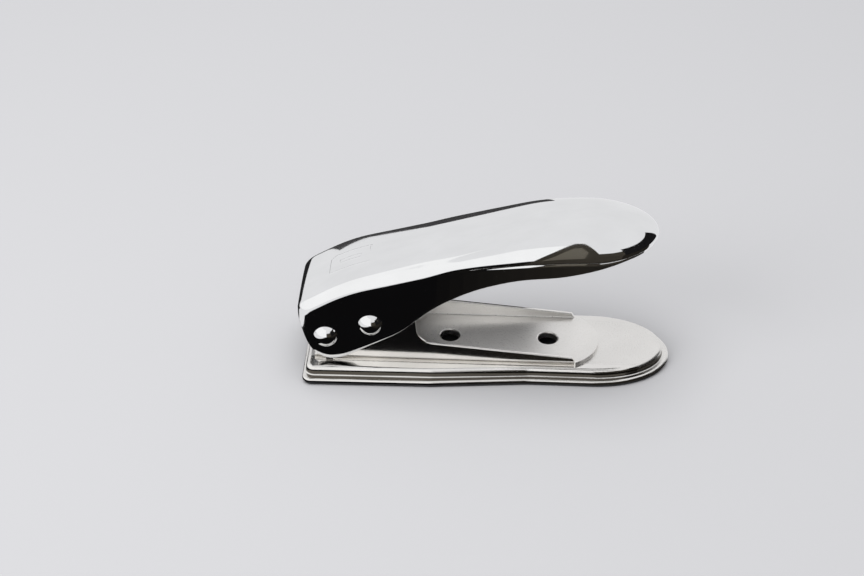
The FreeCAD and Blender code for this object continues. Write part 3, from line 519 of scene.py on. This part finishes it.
def lever_shell(sizes, material):
    """Closed sheet of even thickness: outer skin, rolled lower edge and inner skin."""
    outline = lever_outline(sizes)
    sections = [lever_column(station, sizes) for station in outline]
    gauge = sizes.gauge / MM
    count = len(sections[0])
    points, keys, seen = [], [], {}
    for i, section in enumerate(sections):
        for j, point in enumerate(section):
            name = tuple(round(value, 4) for value in point) if j == 0 else (i, j, "outer")
            if name not in seen:
                seen[name] = len(points)
                points.append(point)
            keys.append(seen[name])
    columns = [range(i * count, (i + 1) * count) for i in range(len(sections))]
    faces = grid_faces([list(column) for column in columns], keys)
    draft = bpy.data.meshes.new("lever_draft")
    draft.from_pydata(points, [], faces)
    draft.update()
    normals = [vertex.normal.copy() for vertex in draft.vertices]
    if normals[0].z < 0:
        normals = [-normal for normal in normals]
    bpy.data.meshes.remove(draft)

    shell_points, shell_keys, seen, chains = [], [], {}, []
    for i, column in enumerate(columns):
        outer = [(points[keys[k]], normals[keys[k]], (keys[k], "outer")) for k in column]
        inner = [(p - n * gauge, n, (k, "inner")) for p, n, (k, _) in reversed(outer)]
        last, before = outer[-1][0], outer[-2][0]
        down = (last - before).normalized()
        middle = (last + inner[0][0]) / 2
        across = (last - inner[0][0]) / 2
        rolled = []
        for step in range(1, RIM_STEPS):
            angle = math.pi * step / RIM_STEPS
            bulge = down * (gauge * ROLL) * math.sin(angle)
            rolled.append((middle + across * math.cos(angle) + bulge, None, (i, step, "rim")))
        chain = []
        for point, normal, name in outer + rolled + inner:
            if name not in seen:
                seen[name] = len(shell_points)
                shell_points.append(point)
            chain.append(len(shell_keys))
            shell_keys.append(seen[name])
        chains.append(chain)
    return new_piece("handle", shell_points, grid_faces(chains, shell_keys), material)


def bored(piece, name, x, z, radius, reach):
    """Cut a round hole along Y through a piece."""
    count = 48
    angles = [math.tau * i / count for i in range(count)]
    ring = [(x + radius * math.cos(angle), z + radius * math.sin(angle)) for angle in angles]
    points = [(a, -reach, b) for a, b in ring] + [(a, reach, b) for a, b in ring]
    faces = [list(range(count)), list(range(2 * count - 1, count - 1, -1))]
    faces += [[i, count + i, count + (i + 1) % count, (i + 1) % count] for i in range(count)]
    drill = new_piece(name, points, faces, piece.data.materials[0])
    modifier = piece.modifiers.new(name, "BOOLEAN")
    modifier.operation = "DIFFERENCE"
    modifier.solver = "EXACT"
    modifier.object = drill
    graph = bpy.context.evaluated_depsgraph_get()
    cut = bpy.data.meshes.new_from_object(piece.evaluated_get(graph))
    piece.modifiers.clear()
    piece.data = cut
    bpy.data.objects.remove(drill)


class OBJECT_OT_punch_lever(bpy.types.Operator):
    """Build the pressed chrome lever with its spoon and rolled edge"""
    bl_idname = "object.punch_lever"
    bl_label = "Lever"

    def execute(self, context):
        sizes = context.scene.punch_lever
        handle = lever_shell(sizes, finish_for("polished_chrome"))
        for rivet in ("pivot_rivet", "drive_rivet"):
            low, high = span(rivet)
            middle = (low + high) / 2
            bored(handle, rivet + "_bore", middle.x, middle.z, RIVET_HOLE, high.y + 1.0)
        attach(handle, "lever")
        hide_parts("handle_shell")
        return {"FINISHED"}


# ------------------------------------------------------------------------------------------------
# Stamp on the rear of the lever: a plain card outline with a bar in it
# ------------------------------------------------------------------------------------------------
STAMP_MIDDLE = -39.6
STAMP_LENGTH, STAMP_WIDTH, STAMP_CLIP = 11.4, 8.0, 1.2
BAR_LENGTH, BAR_WIDTH = 5.8, 1.5
BEAD_WIDTH, BEAD_HEIGHT, BEAD_SINK = 0.45, 0.08, 0.02


def bead(outline, sizes):
    """Low rounded bead along a closed outline on the lever's top skin."""
    count, profile = len(outline), 7
    points, faces = [], []
    for i, here in enumerate(outline):
        into = (here - outline[i - 1]).normalized()
        out = (outline[(i + 1) % count] - here).normalized()
        along = (into + out).normalized()
        across = Vector((-along.y, along.x)) / max(along.dot(into), 0.5)
        for step in range(profile):
            share = step / (profile - 1) * 2 - 1
            plan = here + across * (share * BEAD_WIDTH / 2)
            rise = BEAD_HEIGHT * (1 - share * share) - BEAD_SINK
            points.append((plan.x, plan.y, top_height(plan.x, plan.y, sizes) + rise))
    for i in range(count):
        for step in range(profile - 1):
            a, b = i * profile + step, (i + 1) % count * profile + step
            faces.append([a, b, b + 1, a + 1])
    return points, faces


def filled_out(corners, spacing=0.4):
    """Closed outline through corners with points about every spacing millimetres."""
    outline = []
    for i, corner in enumerate(corners):
        here, following = Vector(corner), Vector(corners[(i + 1) % len(corners)])
        steps = max(1, round((following - here).length / spacing))
        outline += [here.lerp(following, step / steps) for step in range(steps)]
    return outline


class OBJECT_OT_punch_stamp(bpy.types.Operator):
    """Raise the plain card outline on the rear of the lever"""
    bl_idname = "object.punch_stamp"
    bl_label = "Card stamp"

    def execute(self, context):
        sizes = context.scene.punch_lever
        x, dx, dy = STAMP_MIDDLE, STAMP_LENGTH / 2, STAMP_WIDTH / 2
        card = [(x - dx, -dy), (x + dx, -dy), (x + dx, dy),
                (x - dx + STAMP_CLIP, dy), (x - dx, dy - STAMP_CLIP)]
        bx, by = BAR_LENGTH / 2, BAR_WIDTH / 2
        bar = [(x - bx, -by), (x + bx, -by), (x + bx, by), (x - bx, by)]
        points, faces = [], []
        for corners in (card, bar):
            more, quads = bead(filled_out(corners), sizes)
            faces += [[k + len(points) for k in quad] for quad in quads]
            points += more
        stamp = new_piece("card_stamp", points, faces, finish_for("polished_chrome"))
        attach(stamp, "lever")
        return {"FINISHED"}


# ------------------------------------------------------------------------------------------------
# Return springs
# ------------------------------------------------------------------------------------------------
SPRINGS = ("return_spring_rear_left", "return_spring_rear_right",
           "return_spring_front_left", "return_spring_front_right")
# Steps per turn and round the wire, and how much closer the end turns lie.
COIL_STEPS, WIRE_STEPS, END_CLOSING = 28, 10, 0.35


def coil(name, turns, wire, material):
    """Round wire wound between the ends of a CAD spring, with closed end turns."""
    low, high = span(name)
    radius = (high.x - low.x) / 2 - wire
    centre = (low + high) / 2
    base, top = low.z + wire, high.z - wire
    steps, around = COIL_STEPS, WIRE_STEPS
    total = int(turns * steps)
    points, faces = [], []
    for i in range(total + 1):
        angle = math.tau * i / steps
        share = i / total
        height = mixed(base, top, mixed(share, eased(share, 0.0, 1.0), END_CLOSING))
        out = Vector((math.cos(angle), math.sin(angle), 0))
        middle = Vector((centre.x, centre.y, height)) + out * radius
        for k in range(around):
            turn = math.tau * k / around
            rise = Vector((0, 0, wire * math.sin(turn)))
            points.append(middle + out * (wire * math.cos(turn)) + rise)
    for i in range(total):
        for k in range(around):
            a, b = i * around + k, i * around + (k + 1) % around
            faces.append([a, a + around, b + around, b])
    faces.append(list(range(around)))
    faces.append([total * around + k for k in reversed(range(around))])
    return new_piece(name.replace("return_spring", "coil"), points, faces, material)


class OBJECT_OT_punch_springs(bpy.types.Operator):
    """Wind the four return springs, each with its own mesh"""
    bl_idname = "object.punch_springs"
    bl_label = "Return springs"

    def execute(self, context):
        settings = context.scene.punch_springs
        for name in SPRINGS:
            spring = coil(name, settings.turns, settings.wire / MM, finish_for("spring_steel"))
            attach(spring, "frame")
            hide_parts(name)
            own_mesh(spring)
        return {"FINISHED"}


# ------------------------------------------------------------------------------------------------
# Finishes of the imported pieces
# ------------------------------------------------------------------------------------------------
class OBJECT_OT_punch_finishes(bpy.types.Operator):
    """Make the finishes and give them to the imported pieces"""
    bl_idname = "object.punch_finishes"
    bl_label = "Finishes"

    def execute(self, context):
        colours = context.scene.punch_colours
        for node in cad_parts.values():
            for place in node.material_slots:
                place.material.name = "packed_" + place.material.name.removeprefix("packed_")
        finishes = {
            "polished_chrome": make_chrome(colours),
            "satin_nickel": make_nickel(colours),
            "tool_steel": make_ground_steel("tool_steel", colours.steel, 0.26, (1, 0.06, 1)),
            "spring_steel": make_ground_steel("spring_steel", colours.wire, 0.24, (1, 1, 0.2)),
            "black_steel": make_ground_steel("black_steel", colours.blackened, 0.38, (1, 1, 1)),
            "bush_brass": make_ground_steel("bush_brass", colours.brass, 0.22, (1, 0.1, 1)),
            "sole_rubber": make_rubber(colours),
        }
        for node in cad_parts.values():
            for place in node.material_slots:
                place.material = finishes[place.material.name.removeprefix("packed_").split(".")[0]]
        return {"FINISHED"}


# ------------------------------------------------------------------------------------------------
# Stage: pale floor, soft lights and the camera
# ------------------------------------------------------------------------------------------------
FLOOR_HALF = 3.0
STAGE_ROUGHNESS = 0.9
WORLD_COLOUR, WORLD_STRENGTH = (0.90, 0.90, 0.91, 1), 0.9
CURTAIN_RADIUS, CURTAIN_COLUMNS, CURTAIN_ROWS = 1.3, 12, 6
# Lights: place, size and power, in metres and watts.
LIGHTS = (
    ("overhead", (-0.10, 0.05, 0.95), (0.9, 0.7), 9.0),
    ("left_front", (-0.75, -0.55, 0.60), (0.6, 0.6), 6.0),
)


def stage_material(name, colour, glow=0.0):
    """Matt material, or a black one that glows in its colour."""
    base = colour if glow == 0 else (0, 0, 0)
    material, _, shader = new_finish(name, base, 0.0, STAGE_ROUGHNESS)
    shader.inputs["Emission Color"].default_value = (*colour, 1)
    shader.inputs["Emission Strength"].default_value = glow
    shader.inputs["Specular IOR Level"].default_value = 0.0
    return material


def lay_floor(material):
    """Square floor under the object, which polished surfaces don't mirror."""
    half = FLOOR_HALF / MM
    points = [(-half, -half, 0), (half, -half, 0), (half, half, 0), (-half, half, 0)]
    piece = new_piece("floor", points, [[0, 1, 2, 3]], material, smooth=False)
    piece.visible_glossy = False


def only_mirrored(piece):
    """Shown in polished surfaces and nowhere else."""
    for ray in ("camera", "diffuse", "transmission", "volume_scatter", "shadow"):
        setattr(piece, "visible_" + ray, False)


def curtain(name, turns, heights, material):
    """Part of a sphere round the stage between two turns from the front and two heights."""
    columns, rows = CURTAIN_COLUMNS, CURTAIN_ROWS
    points = []
    for i in range(columns + 1):
        turn = math.radians(mixed(*turns, i / columns))
        for j in range(rows + 1):
            height = math.radians(mixed(*heights, j / rows))
            level = math.cos(height)
            outward = Vector((math.sin(turn) * level, -math.cos(turn) * level, math.sin(height)))
            points.append(outward * (CURTAIN_RADIUS / MM))
    faces = []
    for i in range(columns):
        for j in range(rows):
            a = i * (rows + 1) + j
            faces.append([a, a + rows + 1, a + rows + 2, a + 1])
    piece = new_piece(name, points, faces, material)
    only_mirrored(piece)


def soft_light(name, place, size, power):
    """Rectangular light aimed at the origin, which polished surfaces don't mirror."""
    light = bpy.data.lights.new(name, "AREA")
    light.shape = "RECTANGLE"
    light.size, light.size_y = size
    light.energy = power
    lamp = bpy.data.objects.new(name, light)
    bpy.context.scene.collection.objects.link(lamp)
    lamp.location = place
    lamp.rotation_euler = (-Vector(place)).to_track_quat("-Z", "Y").to_euler()
    lamp.visible_glossy = False


def place_camera(settings):
    """Camera on a sphere round an aim point that lies across the view from the origin."""
    a, e = settings.azimuth, settings.elevation
    right = Vector((math.cos(a), math.sin(a), 0))
    forward = Vector((-math.sin(a) * math.cos(e), math.cos(a) * math.cos(e), -math.sin(e)))
    up = right.cross(forward)
    aim = right * settings.aim_right + up * settings.aim_up
    data = bpy.data.cameras.new("camera")
    data.lens = settings.lens
    camera = bpy.data.objects.new("camera", data)
    bpy.context.scene.collection.objects.link(camera)
    camera.location = aim - forward * settings.distance
    camera.rotation_euler = (math.pi / 2 - e, 0, a)
    bpy.context.scene.camera = camera


# Cloths that only polished surfaces mirror: tone, turns from the front, heights in degrees, glow.
CURTAINS = (
    ("cloth_front_right", "brown", (6.0, 44.0), (-4.0, 30.0), 0.0),
    ("cloth_right", "table", (44.0, 120.0), (-6.0, 40.0), 0.0),
    ("white_left", "white", (-118.0, 2.0), (2.0, 62.0), 0.98),
)
# Corners of flat sheets that only polished surfaces mirror, in metres: a low screen and a strip of
# table behind the object, and a cloth with a lighter fold that hangs close before the spoon.
SHEETS = (
    ("grey_screen", "grey", (
        (-0.064, 0.045, 0.0), (0.016, 0.045, 0.0), (0.016, 0.045, 0.049),
        (-0.030, 0.045, 0.052), (-0.064, 0.045, 0.036))),
    ("rear_table", "grey", (
        (-0.30, 0.004, -0.0005), (-0.053, 0.004, -0.0005),
        (-0.053, 0.6, -0.0005), (-0.30, 0.6, -0.0005))),
    ("spoon_cloth", "brown", (
        (0.0085, -0.028, 0.033), (0.050, -0.028, 0.033), (0.050, -0.028, 0.044),
        (0.034, -0.028, 0.050), (0.0290, -0.028, 0.070), (0.0255, -0.028, 0.090),
        (0.0215, -0.028, 0.090), (0.016, -0.028, 0.060), (0.011, -0.028, 0.042))),
    ("spoon_fold", "fold", (
        (0.0135, -0.0275, 0.041), (0.0265, -0.0275, 0.044), (0.0275, -0.0275, 0.056),
        (0.0250, -0.0275, 0.068), (0.0220, -0.0275, 0.066), (0.0170, -0.0275, 0.049))),
)
# The mirrored table before the object: where it starts, where its tone changes, where it ends.
TABLE_REAR, TONE_START, TONE_END, TABLE_END = -0.075, -0.016, 0.026, 0.6
TABLE_STRIPS, TABLE_DEPTH, TABLE_LEVEL = 12, -0.6, -0.0005


def mirrored_sheet(name, corners, material):
    """Flat sheet that only polished surfaces show."""
    points = [Vector(corner) / MM for corner in corners]
    piece = new_piece(name, points, [list(range(len(points)))], material, smooth=False)
    only_mirrored(piece)


class OBJECT_OT_punch_stage(bpy.types.Operator):
    """Lay the floor, hang the lights and set the camera"""
    bl_idname = "object.punch_stage"
    bl_label = "Stage"

    def execute(self, context):
        settings = context.scene.punch_stage
        place_camera(settings)
        lay_floor(stage_material("floor", settings.floor))
        tones = {"brown": settings.brown, "table": settings.table, "white": settings.white,
                 "fold": settings.fold, "grey": settings.grey}
        for name, tone, turns, heights, glow in CURTAINS:
            curtain(name, turns, heights, stage_material(name, tones[tone], glow=glow))
        for name, tone, corners in SHEETS:
            mirrored_sheet(name, corners, stage_material(name, tones[tone]))
        edges = [mixed(TONE_START, TONE_END, i / (TABLE_STRIPS - 2))
                 for i in range(TABLE_STRIPS - 1)]
        edges = [TABLE_REAR] + edges + [TABLE_END]
        for i, (x0, x1) in enumerate(zip(edges, edges[1:])):
            share = i / (TABLE_STRIPS - 1)
            tone = [mixed(a, b, share) for a, b in zip(settings.table, settings.brown)]
            plan = ((x0, TABLE_DEPTH), (x1, TABLE_DEPTH), (x1, 0), (x0, 0))
            corners = [(x, y, TABLE_LEVEL) for x, y in plan]
            mirrored_sheet("table_strip", corners, stage_material("table_strip", tone))
        for name, place, size, power in LIGHTS:
            soft_light(name, place, size, power)
        world = bpy.data.worlds.new("studio")
        world.use_nodes = True
        background = world.node_tree.nodes["Background"]
        background.inputs["Color"].default_value = WORLD_COLOUR
        background.inputs["Strength"].default_value = WORLD_STRENGTH
        context.scene.world = world
        context.scene.view_settings.view_transform = "Standard"
        return {"FINISHED"}


# ------------------------------------------------------------------------------------------------
# Panel, registration and the run
# ------------------------------------------------------------------------------------------------
OPERATORS = (OBJECT_OT_punch_finishes, OBJECT_OT_punch_lever, OBJECT_OT_punch_stamp,
             OBJECT_OT_punch_springs, OBJECT_OT_punch_stage)
SETTINGS = {"punch_lever": LeverSizes, "punch_springs": SpringSizes, "punch_colours": FinishColours,
            "punch_stage": StageSettings}


class VIEW3D_PT_hand_punch(bpy.types.Panel):
    bl_label = "Hand Punch"
    bl_space_type = "VIEW_3D"
    bl_region_type = "UI"
    bl_category = "Hand Punch"

    def draw(self, context):
        for operator in OPERATORS:
            self.layout.operator(operator.bl_idname)
        for name in SETTINGS:
            box = self.layout.box()
            group = getattr(context.scene, name)
            for prop in group.bl_rna.properties:
                if prop.identifier not in ("rna_type", "name"):
                    box.prop(group, prop.identifier)


def register():
    for cls in (*SETTINGS.values(), *OPERATORS, VIEW3D_PT_hand_punch):
        bpy.utils.register_class(cls)
    for name, cls in SETTINGS.items():
        setattr(bpy.types.Scene, name, PointerProperty(type=cls))


def unregister():
    for name in SETTINGS:
        delattr(bpy.types.Scene, name)
    for cls in reversed((*SETTINGS.values(), *OPERATORS, VIEW3D_PT_hand_punch)):
        bpy.utils.unregister_class(cls)


def main():
    register()
    bpy.ops.object.punch_finishes()
    bpy.ops.object.punch_lever()
    bpy.ops.object.punch_stamp()
    bpy.ops.object.punch_springs()
    bpy.ops.object.punch_stage()


if __name__ == "__main__":
    main()
